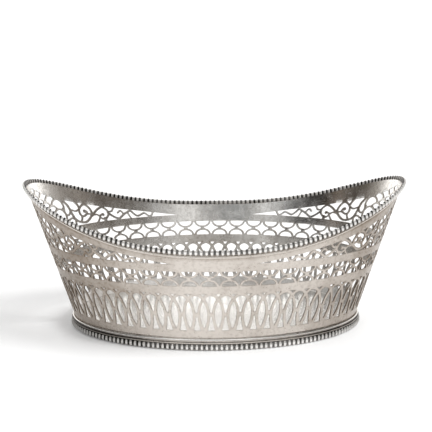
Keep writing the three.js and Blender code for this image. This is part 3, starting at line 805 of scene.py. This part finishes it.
class BASKET_OT_foot(Operator):
    """Builds the low foot: moulding with ridge and cove, beads, and the flange that it stands on"""

    bl_idname = "basket.foot"
    bl_label = "Foot"

    def execute(self, context):
        wires, finish, oval = basket(context)
        height, depth = mm(wires.foot_bead_height), mm(wires.foot_bead_depth)
        # The foot takes painted shade under its ridge, in its cove and toward the narrow ends
        mottled = silver_material(
            "foot_moulding_silver", finish.outer_silver, finish.grooves, clouds=0.25, roughness=0.2,
            bump=0.25, mark="groove_shade", mark_share=0.75, ends=0.75)
        flange_top, lift, reach, gap = 0.9, 0.35, 2.7, 0.25
        ridge_height, ridge_reach, cove_height, cove_reach = 1.0, 2.1, 1.3, 0.72
        ridge = lift + height + gap
        back, bottom, top = reach - depth - gap, flange_top + gap, ridge + ridge_height + cove_height
        inside = back - 4.2
        round_of_ridge = ridge_height / 2
        profile = [(inside, bottom), (back, bottom), (back, ridge - 0.05)]
        profile += arc((ridge_reach - round_of_ridge, ridge + round_of_ridge), round_of_ridge, -90, 90, 8)
        profile += arc((1.6, top - 0.35), 0.9, 266, 182, 6)[1:]
        profile += [(cove_reach, top), (inside, top)]
        ring = moulding(profile, oval, False)
        groove_shade = np.zeros(len(profile))
        # Painted shade under the ridge and in the cove
        under_ridge, cove = 2, slice(11, 17)
        groove_shade[under_ridge] = 1.0
        groove_shade[cove] = [0.9, 1.0, 1.0, 0.8, 0.5, 0.2]
        make_piece("foot_collar", ring, closed_ring(ring), ["foot_moulding"], mottled,
                   {"groove_shade": np.broadcast_to(groove_shade, ring.shape[:2])})
        narrower = 0.93
        # Painted shade between the foot beads, and toward the narrow ends
        make_beads("foot", finish, 0.2, 0.45, *beaded_wire(
            oval, wires.foot_beads, mm(wires.bead_width) * narrower, height, depth,
            reach - depth / 2, lift + height / 2, False))
        lip, inner = flange_top / 2, back - 4.55
        profile = [(inner, 0.0), (back - lip, 0.0)] + arc((back - lip, lip), lip, -60, 60, 6)
        profile += [(back - lip, flange_top), (inner, flange_top)]
        ring = moulding(profile, oval, False)
        make_piece("foot_rest_strip", ring, closed_ring(ring), ["foot_flange"], mottled,
                   {"groove_shade": np.zeros(ring.shape[:2])})
        return {"FINISHED"}


class BASKET_OT_studio(Operator):
    """Sets the pale floor, the surroundings, the soft light and the camera"""

    bl_idname = "basket.studio"
    bl_label = "Studio"

    def execute(self, context):
        scene, stage = context.scene, context.scene.basket_stage
        mesh = bpy.data.meshes.new("studio_floor")
        half = 9.0
        corners = [(-half, -half, 0), (half, -half, 0), (half, half, 0), (-half, half, 0)]
        mesh.from_pydata(corners, [], [(0, 1, 2, 3)])
        paint = bpy.data.materials.new("studio_paint")
        paint.use_nodes = True
        fill(paint.node_tree.nodes["Principled BSDF"], {
            "Base Color": (*stage.floor, 1.0), "Roughness": 0.55, "Specular IOR Level": 0.2,
            "Emission Color": (1.0, 1.0, 1.0, 1.0), "Emission Strength": 0.07})
        mesh.materials.append(paint)
        floor = bpy.data.objects.new("studio_floor", mesh)
        scene.collection.objects.link(floor)
        studio_surroundings(scene, stage)
        main_light(scene, stage.key)
        photo_camera(scene)
        scene.view_settings.view_transform = "Standard"
        scene.view_settings.look = "None"
        return {"FINISHED"}


# What the silver reflects all round: degrees from the camera's side round to the right, then red, green
# and blue
REFLECTED = [
    (-180, 1.50, 1.48, 1.45), (-140, 1.40, 1.36, 1.31), (-112, 0.30, 0.27, 0.235), (-96, 0.10, 0.085, 0.07),
    (-78, 0.045, 0.037, 0.03), (-71, 0.31, 0.255, 0.21), (-64, 0.012, 0.007, 0.004),
    (-47, 0.034, 0.032, 0.03), (-38, 0.085, 0.085, 0.085), (-31, 0.62, 0.62, 0.615), (-22, 0.98, 0.98, 0.97),
    (-14, 0.21, 0.217, 0.217), (-4, 0.30, 0.30, 0.295), (4, 0.34, 0.335, 0.33), (10, 1.18, 1.17, 1.15),
    (16, 0.90, 0.89, 0.87), (24, 0.45, 0.44, 0.43), (36, 0.13, 0.12, 0.108), (52, 0.14, 0.12, 0.10),
    (66, 0.085, 0.07, 0.06), (78, 0.32, 0.285, 0.25), (90, 0.25, 0.225, 0.20), (112, 0.40, 0.37, 0.34),
    (140, 1.40, 1.36, 1.31), (180, 1.50, 1.48, 1.45),
]

# The same for what it reflects from higher up
REFLECTED_ABOVE = [
    (-180, 1.15, 1.15, 1.15), (-118, 1.10, 1.10, 1.10), (-100, 0.16, 0.13, 0.10), (-70, 0.05, 0.04, 0.03),
    (-44, 0.12, 0.10, 0.08), (-30, 1.15, 1.15, 1.15), (28, 1.15, 1.15, 1.15), (42, 0.10, 0.085, 0.07),
    (60, 0.16, 0.14, 0.12), (76, 0.06, 0.05, 0.04), (98, 0.3, 0.27, 0.24), (118, 1.10, 1.10, 1.10),
    (180, 1.15, 1.15, 1.15),
]


def ramp_round(tree, share, colours):
    """A colour for every direction round the basket, from a list of degrees, red, green and blue."""
    ramp = node(tree, "ShaderNodeValToRGB")
    ramp.color_ramp.interpolation = "EASE"
    for degrees, *colour in colours[1:-1]:
        ramp.color_ramp.elements.new(degrees / 360 + 0.5).color = (*colour, 1.0)
    ramp.color_ramp.elements[0].color = (*colours[0][1:], 1.0)
    ramp.color_ramp.elements[-1].color = (*colours[-1][1:], 1.0)
    tree.links.new(share, ramp.inputs["Fac"])
    return ramp.outputs["Color"]


def studio_surroundings(scene, stage):
    """The silver reflects a studio that is white behind and straight above, and dark from the ends round to
    the camera, but for a few lights and a wide bright screen over the camera. Everything else is lit by a
    plain white sky."""
    world = bpy.data.worlds.new("studio_surroundings")
    world.use_nodes = True
    tree = world.node_tree
    tree.nodes.clear()
    way = node(tree, "ShaderNodeSeparateXYZ")
    tree.links.new(node(tree, "ShaderNodeTexCoord").outputs["Generated"], way.inputs["Vector"])
    toward = combine(tree, "MULTIPLY", way.outputs["Y"], -1.0)
    turn = combine(tree, "ARCTAN2", way.outputs["X"], toward)
    share = combine(tree, "ADD", combine(tree, "DIVIDE", turn, 2 * math.pi), 0.5)
    higher = spread(tree, way.outputs["Z"], 0.34, 0.56)
    reflected = blend_colours(tree, higher, ramp_round(tree, share, REFLECTED),
                              ramp_round(tree, share, REFLECTED_ABOVE))
    overhead, ceiling = spread(tree, way.outputs["Z"], 0.72, 0.92), (1.1, 1.1, 1.1)
    reflected = blend_colours(tree, overhead, reflected, ceiling)
    mirror_rays = node(tree, "ShaderNodeLightPath").outputs["Is Glossy Ray"]
    sky = (stage.sky,) * 3
    background = node(tree, "ShaderNodeBackground")
    tree.links.new(blend_colours(tree, mirror_rays, sky, reflected), background.inputs["Color"])
    output = node(tree, "ShaderNodeOutputWorld")
    tree.links.new(background.outputs["Background"], output.inputs["Surface"])
    scene.world = world


def main_light(scene, strength):
    """A wide soft light from the upper right and a little in front, which throws a faint shadow to the
    left. The silver doesn't reflect it."""
    softness = math.radians(32)
    data = bpy.data.lights.new("main_light", "SUN")
    data.energy, data.angle = strength, softness
    light = bpy.data.objects.new("main_light", data)
    place = Vector((1.0, -0.28, 1.05))
    light.visible_glossy = False
    light.matrix_world = Matrix.Translation(place) @ place.to_track_quat("Z", "Y").to_matrix().to_4x4()
    scene.collection.objects.link(light)


def photo_camera(scene):
    """Stands where the photograph was taken from, 0.95 m in front and 0.28 m up, with a long lens."""
    data = bpy.data.cameras.new("photo_camera")
    film, focal_pixels, picture_pixels = 36.0, 1236.1, 432
    data.sensor_width = film
    data.lens = focal_pixels / picture_pixels * film
    camera = bpy.data.objects.new("photo_camera", data)
    place, down, roll = (0.001158, -0.9527, 0.2831), 11.755, -0.517
    tilt = Matrix.Rotation(math.radians(90 - down), 4, "X") @ Matrix.Rotation(math.radians(roll), 4, "Z")
    camera.matrix_world = Matrix.Translation(place) @ tilt
    scene.collection.objects.link(camera)
    scene.camera = camera


class BASKET_PT_panel(Panel):
    """Lists the basket's pieces and sizes"""

    bl_label = "Bread basket"
    bl_space_type = "VIEW_3D"
    bl_region_type = "UI"
    bl_category = "Basket"

    def draw(self, context):
        for group, (_, *operators) in GROUPS.items():
            column = self.layout.column(align=True)
            settings = getattr(context.scene, group)
            for name in settings.__annotations__:
                column.prop(settings, name)
            for operator in operators:
                column.operator(operator.bl_idname)


# Each group of settings, and the operators that the panel lists under it
GROUPS = {
    "basket_wall": (BasketWall,),
    "basket_piercing": (BasketPiercing, BASKET_OT_walls),
    "basket_wires": (BasketWires, BASKET_OT_rim, BASKET_OT_foot),
    "basket_finish": (BasketFinish, BASKET_OT_floor),
    "basket_stage": (BasketStage, BASKET_OT_studio),
}
CLASSES = (*(made for group in GROUPS.values() for made in group), BASKET_PT_panel)


def register():
    for made in CLASSES:
        bpy.utils.register_class(made)
    for name, (settings, *_) in GROUPS.items():
        setattr(bpy.types.Scene, name, PointerProperty(type=settings))


def unregister():
    for name in GROUPS:
        delattr(bpy.types.Scene, name)
    for made in reversed(CLASSES):
        bpy.utils.unregister_class(made)


def main():
    register()
    bpy.ops.basket.walls()
    bpy.ops.basket.rim()
    bpy.ops.basket.floor()
    bpy.ops.basket.foot()
    bpy.ops.basket.studio()


if __name__ == "__main__":
    main()
